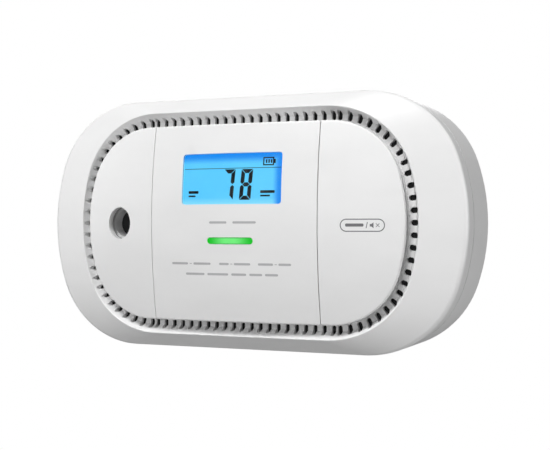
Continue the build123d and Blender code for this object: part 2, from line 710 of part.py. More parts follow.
with BuildPart() as sensor_cap:
    with BuildSketch(wall_plane(BOARD_BACK - SENSOR_STANDOFF - SENSOR_HEIGHT)):
        with Locations(SENSOR_PLACE):
            Circle(SENSOR_CAP_RADIUS)
    extrude(amount=-SENSOR_CAP_HEIGHT)
    fillet(sensor_cap.edges().group_by(Axis.Y)[-1], SMALL_ROUND)
    with BuildSketch(wall_plane(BOARD_BACK - SENSOR_STANDOFF - SENSOR_HEIGHT)):
        with Locations(SENSOR_PLACE):
            with PolarLocations(SENSOR_CAP_HOLE[1], 5):
                Circle(SENSOR_CAP_HOLE[0])
            Circle(SENSOR_CAP_HOLE[0])
    extrude(amount=-SENSOR_CAP_HEIGHT, mode=Mode.SUBTRACT)
save(sensor_cap, "sensor_cap")

# Horn: foam ring under the port, sleeve, resonator cup, and the piezo disc clamped in the cup.
with BuildPart() as horn_gasket:
    with BuildSketch(wall_plane(HORN_CUP_FRONT)):
        with Locations((HORN_X, 0)):
            Circle(GASKET_RADIUS)
            Circle(GASKET_HOLE_RADIUS, mode=Mode.SUBTRACT)
    extrude(amount=CASE_DEPTH)
    add(dome(HORN_PANEL_THICKNESS + FIT / 2), mode=Mode.INTERSECT)
save(horn_gasket, "horn_gasket")

with BuildPart() as horn_sleeve:
    with BuildSketch(wall_plane(SLEEVE_BACK)):
        with Locations((HORN_X, 0)):
            Circle(SLEEVE_RADIUS)
            Circle(SLEEVE_HOLE_RADIUS, mode=Mode.SUBTRACT)
    extrude(amount=SLEEVE_FRONT - SLEEVE_BACK)
save(horn_sleeve, "horn_sleeve")

with BuildPart() as horn_cup:
    with BuildSketch(wall_plane(BOARD_FRONT)):
        with Locations((HORN_CUP_X, 0)):
            Circle(HORN_CUP_RADIUS)
    extrude(amount=HORN_CUP_FRONT - BOARD_FRONT)
    fillet(horn_cup.edges().group_by(Axis.Y)[0], 2 * SMALL_ROUND)
    with BuildSketch(wall_plane(PIEZO_FRONT)):
        with Locations((HORN_CUP_X, 0)):
            Circle(PIEZO_RADIUS - PIEZO_SEAT)
    extrude(amount=HORN_AIR_GAP, mode=Mode.SUBTRACT)
    with BuildSketch(wall_plane(BOARD_FRONT)):
        with Locations((HORN_CUP_X, 0)):
            Circle(PIEZO_RADIUS + FIT)
    extrude(amount=PIEZO_FRONT - BOARD_FRONT, mode=Mode.SUBTRACT)
    with BuildSketch(wall_plane(SLEEVE_BACK)):
        with Locations((HORN_X, 0)):
            Circle(SLEEVE_RADIUS + FIT / 2)
    extrude(amount=SLEEVE_FRONT - SLEEVE_BACK, mode=Mode.SUBTRACT)
    with BuildSketch(wall_plane(PIEZO_FRONT)):
        with Locations((HORN_X, 0)):
            Circle(SOUND_HOLE_RADIUS)
    extrude(amount=SLEEVE_FRONT - PIEZO_FRONT, mode=Mode.SUBTRACT)
save(horn_cup, "horn_cup")

with BuildPart() as piezo_disc:
    with BuildSketch(wall_plane(PIEZO_FRONT)):
        with Locations((HORN_CUP_X, 0)):
            Circle(PIEZO_RADIUS)
    extrude(amount=-PIEZO_THICKNESS)
    with BuildSketch(wall_plane(PIEZO_FRONT - PIEZO_THICKNESS)):
        with Locations((HORN_CUP_X, 0)):
            Circle(CERAMIC_RADIUS)
    extrude(amount=-CERAMIC_THICKNESS)
save(piezo_disc, "piezo_disc")

# Tactile switch under the push panel.
with BuildPart() as test_switch:
    with BuildSketch(wall_plane(BOARD_FRONT)):
        with Locations((BUTTON_X, 0)):
            RectangleRounded(SWITCH_SIZE, SWITCH_SIZE, SWITCH_CORNER)
            with GridLocations(*SWITCH_LEG_SPACING, 2, 2):
                Rectangle(SWITCH_LEG[0], SWITCH_LEG[1])
    extrude(amount=SWITCH_LEG[2])
    with BuildSketch(wall_plane(BOARD_FRONT)):
        with Locations((BUTTON_X, 0)):
            RectangleRounded(SWITCH_SIZE, SWITCH_SIZE, SWITCH_CORNER)
    extrude(amount=SWITCH_TOP - BOARD_FRONT)
    with BuildSketch(wall_plane(SWITCH_TOP - SWITCH_WELL)):
        with Locations((BUTTON_X, 0)):
            Circle(PLUNGER_RADIUS + PLUNGER_CLEARANCE)
    extrude(amount=SWITCH_WELL, mode=Mode.SUBTRACT)
save(test_switch, "test_switch")

with BuildPart() as switch_plunger:
    with BuildSketch(wall_plane(SWITCH_TOP - PLUNGER_ROOT)):
        with Locations((BUTTON_X, 0)):
            Circle(PLUNGER_RADIUS)
    extrude(amount=PLUNGER_TOP - SWITCH_TOP + PLUNGER_ROOT)
    fillet(switch_plunger.edges().group_by(Axis.Y)[0], SMALL_ROUND)
save(switch_plunger, "switch_plunger")

# Dark dust mesh behind the vent slots.
with BuildPart() as dust_mesh:
    with BuildSketch(wall_plane(CHANNEL_FLOOR - CHANNEL_WALL - FIT)):
        Oval(PLATEAU, grow=MESH_SPAN[1])
        Oval(PLATEAU, grow=MESH_SPAN[0], mode=Mode.SUBTRACT)
    extrude(amount=-MESH_THICKNESS)
save(dust_mesh, "dust_mesh")

# Back cover: shell with a tongue for the seam, bosses, battery bay, door recess and bracket recess.
with BuildPart() as back_cover:
    with BuildSketch(wall_plane(BACK_FACE)):
        Oval(CASE)
    extrude(amount=SEAM - SEAM_GAP / 2 - BACK_FACE)
    fillet(back_cover.edges().group_by(Axis.Y)[-1], BACK_EDGE_RADIUS)
    with BuildSketch(wall_plane(BACK_FACE + WALL)):
        Oval(CASE, grow=-WALL)
    extrude(amount=CASE_DEPTH, mode=Mode.SUBTRACT)
    # tongue that fits inside the front cover's edge
    with BuildSketch(wall_plane(SEAM - TONGUE_ROOT)):
        Oval(CASE, grow=-WALL / 2)
        Oval(CASE, grow=-WALL - FIT - TONGUE_WALL, mode=Mode.SUBTRACT)
    extrude(amount=TONGUE_ROOT - SEAM_GAP)
    with BuildSketch(wall_plane(SEAM - TONGUE_ROOT)):
        Oval(CASE, grow=-WALL - FIT)
        Oval(CASE, grow=-WALL - FIT - TONGUE_WALL, mode=Mode.SUBTRACT)
    extrude(amount=TONGUE_ROOT + TONGUE_HEIGHT)
    # raised skin behind the bracket recess, battery bay walls, screw bosses
    with BuildSketch(wall_plane(BACK_FACE)):
        with Locations((0, -BRACKET_SLIDE / 2)):
            RectangleRounded(
                BRACKET_WIDTH + 2 * BRACKET_MARGIN + 2 * RECESS_SKIN,
                BRACKET_HEIGHT + BRACKET_SLIDE + 2 * BRACKET_MARGIN + 2 * RECESS_SKIN,
                BRACKET_CORNER + RECESS_SKIN,
            )
    extrude(amount=RECESS_FLOOR + RECESS_SKIN - BACK_FACE)
    with BuildSketch(wall_plane(BACK_FACE)):
        with Locations((BAY_X, 0)):
            Rectangle(2 * (BAY_HALF_WIDTH + BAY_WALL), 2 * (BAY_HALF_HEIGHT + BAY_WALL))
    extrude(amount=BAY_CEILING - BACK_FACE)
    with BuildSketch(wall_plane(BACK_FACE + WALL / 2)):
        with Locations((BAY_X, 0)):
            Rectangle(2 * (DOOR_HALF_WIDTH + DOOR_FRAME[0]), 2 * (DOOR_HALF_HEIGHT + DOOR_FRAME[0]))
    extrude(amount=DOOR_FRAME[1] - BACK_FACE - WALL / 2)
    with BuildSketch(wall_plane(BACK_FACE)):
        with Locations(*four_corners(CASE_SCREWS)):
            Circle(CASE_BOSS_RADIUS)
    extrude(amount=SEAM - SEAM_GAP / 2 - BACK_FACE)
    # cut the recesses and the bay
    with BuildSketch(wall_plane(-1)):
        with Locations((0, -BRACKET_SLIDE / 2)):
            RectangleRounded(
                BRACKET_WIDTH + 2 * BRACKET_MARGIN,
                BRACKET_HEIGHT + BRACKET_SLIDE + 2 * BRACKET_MARGIN,
                BRACKET_CORNER,
            )
    extrude(amount=1 + RECESS_FLOOR, mode=Mode.SUBTRACT)
    with BuildSketch(wall_plane(-1)):
        with Locations((BAY_X, 0)):
            Rectangle(2 * (DOOR_HALF_WIDTH + DOOR_GAP), 2 * (DOOR_HALF_HEIGHT + DOOR_GAP))
    extrude(amount=1 + BACK_FACE + DOOR_THICKNESS + DOOR_GAP, mode=Mode.SUBTRACT)
    with BuildSketch(wall_plane(-1)):
        with Locations((BAY_X, 0)):
            Rectangle(2 * BAY_HALF_WIDTH, 2 * BAY_HALF_HEIGHT)
    extrude(amount=1 + BAY_FLOOR, mode=Mode.SUBTRACT)
    # finger scoop above the door, and sockets for its hinge pins
    with BuildSketch(wall_plane(-1)):
        with Locations((BAY_X, DOOR_HALF_HEIGHT)):
            SlotOverall(SCOOP_SIZE[0], SCOOP_SIZE[1])
    extrude(amount=1 + BACK_FACE + SCOOP_SIZE[2], mode=Mode.SUBTRACT)
    with BuildSketch(Plane.YZ.offset(BAY_X)):
        with Locations((-HINGE_DISTANCE, HINGE_Z)):
            Circle(HINGE_PIN_RADIUS + HINGE_CLEARANCE)
    extrude(amount=DOOR_HALF_WIDTH + HINGE_PIN_LENGTH + HINGE_END_GAP, both=True, mode=Mode.SUBTRACT)
    # slots for the bracket's hooks
    with BuildSketch(wall_plane(-1)):
        with Locations(*[(x, z - BRACKET_SLIDE / 2) for x, z in HOOK_PLACES]):
            Rectangle(HOOK_WIDTH + HOOK_CLEARANCE, HOOK_STEM + BRACKET_SLIDE + HOOK_CLEARANCE)
    extrude(amount=CASE_DEPTH / 2, mode=Mode.SUBTRACT)
    # screw holes with counterbores
    with BuildSketch(wall_plane(-1)):
        with Locations(*four_corners(CASE_SCREWS)):
            Circle(SCREW_HEAD_RADIUS + SCREW_CLEARANCE)
    extrude(amount=1 + SCREW_SEAT, mode=Mode.SUBTRACT)
    with BuildSketch(wall_plane(-1)):
        with Locations(*four_corners(CASE_SCREWS)):
            Circle(SCREW_RADIUS + SCREW_CLEARANCE)
    extrude(amount=CASE_DEPTH, mode=Mode.SUBTRACT)
save(back_cover, "back_cover")

with BuildPart() as case_screws:
    with BuildSketch(wall_plane(SCREW_SEAT)):
        with Locations(*four_corners(CASE_SCREWS)):
            Circle(SCREW_HEAD_RADIUS)
    extrude(amount=-SCREW_HEAD_HEIGHT)
    fillet(case_screws.edges().group_by(Axis.Y)[-1], SCREW_HEAD_ROUND)
    with BuildSketch(wall_plane(SCREW_SEAT)):
        with Locations(*four_corners(CASE_SCREWS)):
            Circle(SCREW_RADIUS)
    extrude(amount=SCREW_TIP - SCREW_SEAT)
    with BuildSketch(wall_plane(SCREW_SEAT - SCREW_HEAD_HEIGHT)):
        with Locations(*four_corners(CASE_SCREWS)):
            Rectangle(SCREW_CROSS[0], SCREW_CROSS[1])
            Rectangle(SCREW_CROSS[1], SCREW_CROSS[0])
    extrude(amount=SCREW_CROSS[2], mode=Mode.SUBTRACT)
save(case_screws, "case_screws")

# Battery cell standing in its bay, with a nub at its top end.
with BuildPart() as battery:
    with BuildSketch(Plane.XY.offset(BATTERY_BOTTOM)):
        with Locations((BAY_X, -BATTERY_DISTANCE)):
            Circle(BATTERY_RADIUS)
    extrude(amount=BATTERY_LENGTH - BATTERY_NUB[1])
    fillet(battery.edges().filter_by(GeomType.CIRCLE), BATTERY_ROUND)
    with BuildSketch(Plane.XY.offset(BATTERY_BOTTOM + BATTERY_LENGTH - BATTERY_NUB[1])):
        with Locations((BAY_X, -BATTERY_DISTANCE)):
            Circle(BATTERY_NUB[0])
    extrude(amount=BATTERY_NUB[1])
save(battery, "battery")

with BuildPart() as battery_plate:
    with BuildSketch(Plane.XY.offset(BAY_HALF_HEIGHT - 0.5)):
        with Locations((BAY_X, -BATTERY_DISTANCE)):
            Rectangle(PLATE_SIZE, PLATE_SIZE)
    extrude(amount=PLATE_THICKNESS)
    with BuildSketch(Plane.XY.offset(BATTERY_BOTTOM + BATTERY_LENGTH + 0.05)):
        with Locations((BAY_X, -BATTERY_DISTANCE)):
            Circle(PLATE_TIP_RADIUS)
    extrude(until=Until.NEXT)
save(battery_plate, "battery_plate")

with BuildPart() as battery_spring:
    with BuildLine(Plane.XY.offset(-BAY_HALF_HEIGHT + 0.5)):
        coil_line = Helix(
            pitch=1.2, height=4.6, radius=4.6, center=(BAY_X, -BATTERY_DISTANCE, 0), cone_angle=-8
        )
    with BuildSketch(Plane(coil_line @ 0, z_dir=coil_line % 0)):
        Circle(SPRING_WIRE_RADIUS)
    sweep(path=coil_line, is_frenet=True)
save(battery_spring, "battery_spring")

# Battery door, hinged at its lower end on two stub pins.
with BuildPart() as battery_door:
    with BuildSketch(wall_plane(BACK_FACE)):
        with Locations((BAY_X, (DOOR_HALF_HEIGHT + HINGE_Z) / 2)):
            Rectangle(2 * DOOR_HALF_WIDTH, DOOR_HALF_HEIGHT - HINGE_Z)
    extrude(amount=DOOR_THICKNESS)
    with BuildSketch(Plane.YZ.offset(BAY_X)):
        with Locations((-HINGE_DISTANCE, HINGE_Z)):
            Circle(HINGE_DISTANCE - BACK_FACE)
    extrude(amount=DOOR_HALF_WIDTH, both=True)
    with BuildSketch(Plane.YZ.offset(BAY_X)):
        with Locations((-HINGE_DISTANCE, HINGE_Z)):
            Circle(HINGE_PIN_RADIUS)
    extrude(amount=DOOR_HALF_WIDTH + HINGE_PIN_LENGTH, both=True)
    # grip lines at the top
    with BuildSketch(wall_plane(BACK_FACE)):
        with Locations((BAY_X, DOOR_HALF_HEIGHT - GRIP_DROP)):
            with GridLocations(0, GRIP_PITCH, 1, 4):
                SlotOverall(GRIP_LINE[0], GRIP_LINE[1])
    extrude(amount=GRIP_LINE[2], mode=Mode.SUBTRACT)
save(battery_door, "battery_door")

# Blank rating label stuck on the back.
with BuildPart() as rating_label:
    with BuildSketch(wall_plane(BACK_FACE)):
        with Locations((-BAY_X, 0)):
            RectangleRounded(*LABEL_SIZE)
    extrude(amount=-LABEL_THICKNESS)
save(rating_label, "rating_label")

# Wall bracket: plate with two screw holes and four hooks.
with BuildPart() as wall_bracket:
    with BuildSketch(wall_plane(0)):
        RectangleRounded(BRACKET_WIDTH, BRACKET_HEIGHT, BRACKET_CORNER)
    extrude(amount=BRACKET_THICKNESS)
    fillet(wall_bracket.edges().group_by(Axis.Y)[0], BRACKET_ROUND)
    with BuildSketch(wall_plane(0)):
        with Locations((-WALL_SCREW_SPACING / 2, 0), (WALL_SCREW_SPACING / 2, 0)):
            Circle(WALL_SCREW_RADIUS)
    extrude(amount=BRACKET_THICKNESS, mode=Mode.SUBTRACT)
    with BuildSketch(wall_plane(BRACKET_THICKNESS - 0.1)):
        with Locations(*HOOK_PLACES):
            Rectangle(HOOK_WIDTH, HOOK_STEM)
    extrude(amount=RECESS_FLOOR + RECESS_SKIN + HOOK_LIP_GAP + HOOK_LIP_THICKNESS - BRACKET_THICKNESS)
    with BuildSketch(wall_plane(RECESS_FLOOR + RECESS_SKIN + HOOK_LIP_GAP)):
        with Locations(*[(x, z + HOOK_LIP / 2) for x, z in HOOK_PLACES]):
            Rectangle(HOOK_WIDTH, HOOK_STEM + HOOK_LIP)
    extrude(amount=HOOK_LIP_THICKNESS)
save(wall_bracket, "wall_bracket")
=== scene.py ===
import json
import math

import bmesh
import bpy
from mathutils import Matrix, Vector
from mathutils.bvhtree import BVHTree


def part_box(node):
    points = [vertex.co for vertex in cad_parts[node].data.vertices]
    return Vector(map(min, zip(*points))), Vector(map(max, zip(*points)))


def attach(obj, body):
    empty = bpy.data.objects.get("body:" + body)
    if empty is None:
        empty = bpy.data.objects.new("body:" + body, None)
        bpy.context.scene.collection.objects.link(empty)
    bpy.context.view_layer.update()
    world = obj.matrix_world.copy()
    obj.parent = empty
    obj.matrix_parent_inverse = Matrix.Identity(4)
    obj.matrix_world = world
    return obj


# Looks of a white carbon monoxide alarm: materials for every CAD piece, the marks on the display,
# the print on the front and on the label, the studio and the camera.
# Marks and prints are drawn in millimetres, x to the right and z up on the front, and laid on the CAD faces.

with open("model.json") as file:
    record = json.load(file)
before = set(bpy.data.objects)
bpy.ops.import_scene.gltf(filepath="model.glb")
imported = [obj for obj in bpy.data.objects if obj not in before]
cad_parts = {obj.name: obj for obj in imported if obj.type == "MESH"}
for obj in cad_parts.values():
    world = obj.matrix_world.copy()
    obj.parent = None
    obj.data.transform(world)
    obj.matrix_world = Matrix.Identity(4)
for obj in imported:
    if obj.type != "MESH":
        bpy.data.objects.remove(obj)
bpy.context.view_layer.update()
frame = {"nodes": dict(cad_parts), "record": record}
nodes = frame["nodes"]
MM = 0.001

# Camera, fixed by the point that it looks at, its distance and its direction.
CAMERA_AIM = (0.0133, -0.036, -0.00057)
CAMERA_DISTANCE = 0.28019
CAMERA_HEADING = 23.67
CAMERA_RISE = 0.1
CAMERA_LENS = 70.04

# Studio lights: name, place in metres, (width, height), energy. All look at LIGHT_AIM.
AMBIENT = 0.11
LIGHT_AIM = (0.0, -0.02, 0.0)
LIGHTS = (
    ("key", (-0.1, -0.95, 0.72), (0.45, 0.4), 1.8),
    ("key_high", (-0.1, -0.7, 0.98), (0.45, 0.4), 10.5),
    ("front", (0.1, -1.4, 0.1), (1.0, 0.7), 2.6),
    ("left", (-1.2, -0.6, 0.2), (0.5, 0.7), 3.6),
    ("right", (1.2, -0.3, 0.1), (0.5, 0.7), 6.3),
    ("back", (-0.5, 1.0, 0.3), (0.8, 0.6), 3.5),
)

# Print on the front, in rows of plain bars: (z, bar height, ((first x, last x), ...)).
PRINT_ROWS = (
    (0.12, 0.6, ((-6.1, -0.9), (0.9, 7.7))),
    (-11.0, 0.6, ((-18.0, -12.9), (-11.2, -5.9), (-3.3, -0.4), (1.1, 5.9), (8.1, 12.4), (13.9, 17.4))),
    (-13.8, 0.6, ((-13.7, -7.9), (-7.0, -0.7), (0.2, 4.6), (5.5, 9.2), (10.0, 13.7))),
)
PRINT_DASHES = ((-12.05, -11.0), (0.35, -11.0), (13.15, -11.0))
PRINT_LIFT = 0.012 * MM

# Pill outline and symbol on the push panel.
PILL_CENTRE = (36.4, -0.64)
PILL_SIZE = (11.6, 3.35)
PILL_LINE = 0.26
PILL_BAR = (-4.4, 0.35)

# Display marks.
DIGIT_SIZE = (3.35, 8.2)
DIGIT_LINE = 1.1
DIGIT_GAP = 0.1
DIGIT_SLANT = 0.075
DIGIT_BOTTOM = 6.15
DIGITS = ((-2.7, "abc"), (2.45, "abcdefg"))
DISPLAY_LINE_Z = 14.65
MARK_LIFT = 0.03 * MM


# ---------------------------------------------------------------- materials

class Shader:
    """A material's node tree, with its Principled shader and the object coordinates."""

    def __init__(self, name):
        self.material = bpy.data.materials.new(name)
        self.material.use_nodes = True
        self.tree = self.material.node_tree
        self.surface = self.tree.nodes["Principled BSDF"]
        self.place = self.tree.nodes.new("ShaderNodeTexCoord").outputs["Object"]

    def node(self, kind, **settings):
        made = self.tree.nodes.new("ShaderNode" + kind)
        for key, value in settings.items():
            setattr(made, key, value)
        return made

    def link(self, output, socket):
        self.tree.links.new(output, socket)

    def scaled(self, factors):
        mapping = self.node("Mapping")
        self.link(self.place, mapping.inputs["Vector"])
        mapping.inputs["Scale"].default_value = factors
        return mapping.outputs["Vector"]

    def noise(self, scale, detail=4.0, stretch=None):
        texture = self.node("TexNoise")
        texture.inputs["Scale"].default_value = scale
        texture.inputs["Detail"].default_value = detail
        self.link(self.scaled(stretch) if stretch else self.place, texture.inputs["Vector"])
        return texture.outputs["Fac"]

    def spread(self, value, low, high, start=0.3, end=0.7, smooth=False):
        """Map a value from start..end to low..high, clamped."""
        ranged = self.node("MapRange", interpolation_type="SMOOTHSTEP" if smooth else "LINEAR")
        self.link(value, ranged.inputs["Value"])
        ranged.inputs["From Min"].default_value = start
        ranged.inputs["From Max"].default_value = end
        ranged.inputs["To Min"].default_value = low
        ranged.inputs["To Max"].default_value = high
        return ranged.outputs["Result"]

    def blend(self, factor, first, second):
        """Colour between first and second; each is a colour or another node's output."""
        mix = self.node("Mix", data_type="RGBA")
        self.link(factor, mix.inputs["Factor"])
        for value, socket in ((first, mix.inputs[6]), (second, mix.inputs[7])):
            if isinstance(value, tuple):
                socket.default_value = (*value, 1.0)
            else:
                self.link(value, socket)
        return mix.outputs[2]

    def axis(self, name):
        """One object coordinate, in metres."""
        split = self.node("SeparateXYZ")
        self.link(self.place, split.inputs["Vector"])
        return split.outputs[name]

    def math(self, operation, first, second=0.0):
        made = self.node("Math", operation=operation)
        for value, socket in ((first, made.inputs[0]), (second, made.inputs[1])):
            if isinstance(value, (int, float)):
                socket.default_value = value
            else:
                self.link(value, socket)
        return made.outputs["Value"]

    def bump(self, height, strength, distance):
        made = self.node("Bump")
        made.inputs["Strength"].default_value = strength
        made.inputs["Distance"].default_value = distance
        self.link(height, made.inputs["Height"])
        self.link(made.outputs["Normal"], self.surface.inputs["Normal"])

    def set(self, **values):
        for key, value in values.items():
            self.surface.inputs[key.replace("_", " ")].default_value = value


def linear(red, green, blue):
    """Shader colour for an 8-bit display colour."""
    return tuple(
        (c / 255 / 12.92) if c < 11 else ((c / 255 + 0.055) / 1.055) ** 2.4 for c in (red, green, blue)
    )


def darker(colour, factor):
    return tuple(c * factor for c in colour)


def moulded(name, colour, roughness, variation=0.02, grain=7000.0, depth=0.004, spread=0.05, **extra):
    """Moulded plastic or rubber: faint flow marks in the colour, fine spark grain in the surface."""
    shader = Shader(name)
    flow = shader.spread(shader.noise(45.0, stretch=(1.0, 1.0, 2.2)), 0.0, 1.0)
    shader.link(
        shader.blend(flow, darker(colour, 1 - variation), darker(colour, 1 + variation)),
        shader.surface.inputs["Base Color"],
    )
    fine = shader.noise(grain, detail=3.0)
    shader.link(
        shader.spread(fine, roughness - spread, roughness + spread), shader.surface.inputs["Roughness"]
    )
    shader.bump(fine, 0.35, depth * MM)
    shader.set(**extra)
    return shader.material


def metal(name, colour, roughness, stretch, variation=0.12):
    """Rolled or drawn metal: blotchy stains in the colour, streaks along one direction in roughness and
    surface.
    """
    shader = Shader(name)
    streaks = shader.noise(900.0, detail=5.0, stretch=stretch)
    stain = shader.spread(shader.noise(260.0), 0.0, 1.0)
    shader.link(
        shader.blend(stain, darker(colour, 1 - variation), colour), shader.surface.inputs["Base Color"]
    )
    shader.link(
        shader.spread(streaks, roughness - 0.08, roughness + 0.1), shader.surface.inputs["Roughness"]
    )
    shader.bump(streaks, 0.3, 0.01 * MM)
    shader.set(Metallic=1.0)
    return shader.material


def clear_plastic():
    """Polished clear lens with a very slight moulding ripple."""
    shader = Shader("clear_lens")
    ripple = shader.noise(120.0, detail=1.0)
    shader.link(shader.spread(ripple, 0.02, 0.05), shader.surface.inputs["Roughness"])
    shader.bump(ripple, 0.05, 0.01 * MM)
    shader.set(Transmission_Weight=1.0, IOR=1.12, Base_Color=(0.97, 0.99, 1.0, 1.0))
    return shader.material


def lit_display():
    """Backlit LCD: even light blue, deeper blue towards the top and right edges as painted shade of the
    window's edge, with a faint pixel grid.
    """
    shader = Shader("lcd_blue")
    low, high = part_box("lcd_glass")
    z = shader.axis("Z")
    x = shader.axis("X")
    # The top and right masks mark where the window's edge would shade the display: the deeper blue there is
    # painted shade.
    top = shader.spread(z, 0.0, 1.0, high.z - 3.0 * MM, high.z - 0.6 * MM, smooth=True)
    right = shader.spread(x, 0.0, 1.0, high.x - 2.9 * MM, high.x - 0.7 * MM, smooth=True)
    foot = shader.spread(z, 1.0, 0.0, low.z, low.z + 2.2 * MM, smooth=True)
    cloud = shader.spread(shader.noise(70.0), 0.0, 1.0)
    field = shader.blend(cloud, linear(84, 200, 255), linear(96, 208, 255))
    field = shader.blend(foot, field, linear(132, 222, 255))
    edge = shader.math("MAXIMUM", top, right)
    # Painted shade: the deep blue of the window's edge laid over the lit field.
    colour = shader.blend(edge, field, linear(4, 138, 240))
    shader.link(colour, shader.surface.inputs["Emission Color"])
    grid = shader.node("TexBrick", offset=0.0)
    shader.link(shader.place, grid.inputs["Vector"])
    grid.inputs["Scale"].default_value = 4000.0
    grid.inputs["Mortar Size"].default_value = 0.03
    shader.link(
        shader.blend(grid.outputs["Fac"], linear(14, 26, 34), linear(11, 21, 28)),
        shader.surface.inputs["Base Color"],
    )
    shader.link(shader.spread(shader.noise(900.0), 0.3, 0.4), shader.surface.inputs["Roughness"])
    shader.set(Emission_Strength=1.0)
    return shader.material


def lit_bar():
    """Light guide: bright green in the middle, deeper green towards its ends and rim."""
    shader = Shader("light_green")
    low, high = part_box("light_bar")
    middle = (low + high) / 2
    along = shader.math("ABSOLUTE", shader.math("SUBTRACT", shader.axis("X"), middle.x))
    across = shader.math("ABSOLUTE", shader.math("SUBTRACT", shader.axis("Z"), middle.z))
    ends = shader.spread(along, 0.0, 1.0, 1.0 * MM, 6.4 * MM, smooth=True)
    rim = shader.spread(across, 0.0, 1.0, 0.55 * MM, 0.95 * MM, smooth=True)
    colour = shader.blend(ends, linear(120, 246, 132), linear(22, 200, 40))
    colour = shader.blend(rim, colour, linear(52, 158, 70))
    cloud = shader.spread(shader.noise(400.0), 0.0, 1.0)
    shader.link(colour, shader.surface.inputs["Emission Color"])
    shader.link(
        shader.blend(cloud, linear(10, 40, 14), linear(14, 48, 18)),
        shader.surface.inputs["Base Color"],
    )
    shader.link(shader.spread(cloud, 0.2, 0.3, 0.0, 1.0), shader.surface.inputs["Roughness"])
    shader.set(Emission_Strength=0.9)
    return shader.material


def board():
    """Green solder mask over fine copper tracks on glass cloth."""
    shader = Shader("board_green")
    tracks = shader.node("TexBrick", offset=0.5, squash=1.6)
    shader.link(shader.place, tracks.inputs["Vector"])
    tracks.inputs["Scale"].default_value = 260.0
    tracks.inputs["Mortar Size"].default_value = 0.06
    cloth = shader.noise(2500.0, stretch=(1.0, 1.0, 0.35))
    mask = shader.blend(tracks.outputs["Fac"], linear(22, 96, 52), linear(38, 128, 66))
    shade = shader.spread(cloth, 0.0, 0.4)
    shader.link(shader.blend(shade, mask, linear(12, 62, 34)), shader.surface.inputs["Base Color"])
    shader.link(shader.spread(cloth, 0.25, 0.4), shader.surface.inputs["Roughness"])
    shader.bump(tracks.outputs["Fac"], 0.4, 0.02 * MM)
    return shader.material


def woven():
    """Dark woven dust mesh: two crossed sets of threads."""
    shader = Shader("mesh_dark")
    waves = []
    for direction in ("X", "Z"):
        wave = shader.node("TexWave", bands_direction=direction, wave_profile="SIN")
        shader.link(shader.place, wave.inputs["Vector"])
        wave.inputs["Scale"].default_value = 700.0
        waves.append(wave.outputs["Fac"])
    threads = shader.math("MULTIPLY", *waves)
    shader.link(
        shader.blend(threads, linear(9, 9, 10), linear(34, 34, 36)), shader.surface.inputs["Base Color"]
    )
    shader.link(shader.spread(threads, 0.75, 0.6, 0.0, 1.0), shader.surface.inputs["Roughness"])
    shader.bump(threads, 0.6, 0.05 * MM)
    return shader.material


def foam():
    """Open-cell black foam."""
    shader = Shader("black_foam")
    cells = shader.node("TexVoronoi", feature="F1")
    shader.link(shader.place, cells.inputs["Vector"])
    cells.inputs["Scale"].default_value = 2800.0
    depth = cells.outputs["Distance"]
    shader.link(
        shader.blend(shader.spread(depth, 0.0, 1.0, 0.0, 0.8), linear(34, 34, 35), linear(10, 10, 11)),
        shader.surface.inputs["Base Color"],
    )
    shader.link(shader.spread(depth, 0.8, 0.95, 0.0, 0.8), shader.surface.inputs["Roughness"])
    shader.bump(depth, 0.8, 0.06 * MM)
    return shader.material


def wound():
    """Enamelled copper wire, laid in close turns along Y, with painted shade in the grooves between turns.
    """
    shader = Shader("copper_coil")
    turns = shader.node("TexWave", bands_direction="Y", wave_profile="SIN")
    shader.link(shader.place, turns.inputs["Vector"])
    turns.inputs["Scale"].default_value = 1100.0
    wire = turns.outputs["Fac"]
    # The colour follows the turns: lighter on their crests and darker in the grooves between them, which is
    # painted shade.
    shader.link(
        shader.blend(wire, linear(110, 52, 24), linear(196, 112, 62)), shader.surface.inputs["Base Color"]
    )
    shader.link(shader.spread(wire, 0.45, 0.25, 0.0, 1.0), shader.surface.inputs["Roughness"])
    shader.bump(wire, 0.7, 0.08 * MM)
    shader.set(Metallic=0.85)
    return shader.material


def cell_wrap():
    """Printed plastic sleeve of the battery, with a bare steel end above its band."""
    shader = Shader("cell_wrap")
    low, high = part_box("battery")
    z = shader.axis("Z")
    band = shader.spread(z, 0.0, 1.0, high.z - 8.2 * MM, high.z - 8.0 * MM)
    steel = shader.spread(z, 0.0, 1.0, high.z - 1.9 * MM, high.z - 1.8 * MM)
    worn = shader.spread(shader.noise(300.0), 0.0, 1.0)
    sleeve = shader.blend(worn, linear(30, 34, 46), linear(38, 42, 56))
    colour = shader.blend(band, sleeve, linear(190, 130, 40))
    shader.link(shader.blend(steel, colour, linear(170, 172, 176)), shader.surface.inputs["Base Color"])
    shader.link(steel, shader.surface.inputs["Metallic"])
    shader.link(shader.spread(worn, 0.25, 0.38, 0.0, 1.0), shader.surface.inputs["Roughness"])
    shader.bump(worn, 0.2, 0.02 * MM)
    return shader.material


def foil_label():
    """Silver polyester label."""
    shader = Shader("label_silver")
    streaks = shader.noise(500.0, detail=5.0, stretch=(0.15, 1.0, 3.0))
    shader.link(
        shader.blend(shader.spread(streaks, 0.0, 1.0), linear(186, 188, 190), linear(205, 207, 209)),
        shader.surface.inputs["Base Color"],
    )
    shader.link(shader.spread(streaks, 0.34, 0.46), shader.surface.inputs["Roughness"])
    shader.bump(streaks, 0.2, 0.005 * MM)
    shader.set(Metallic=0.35)
    return shader.material


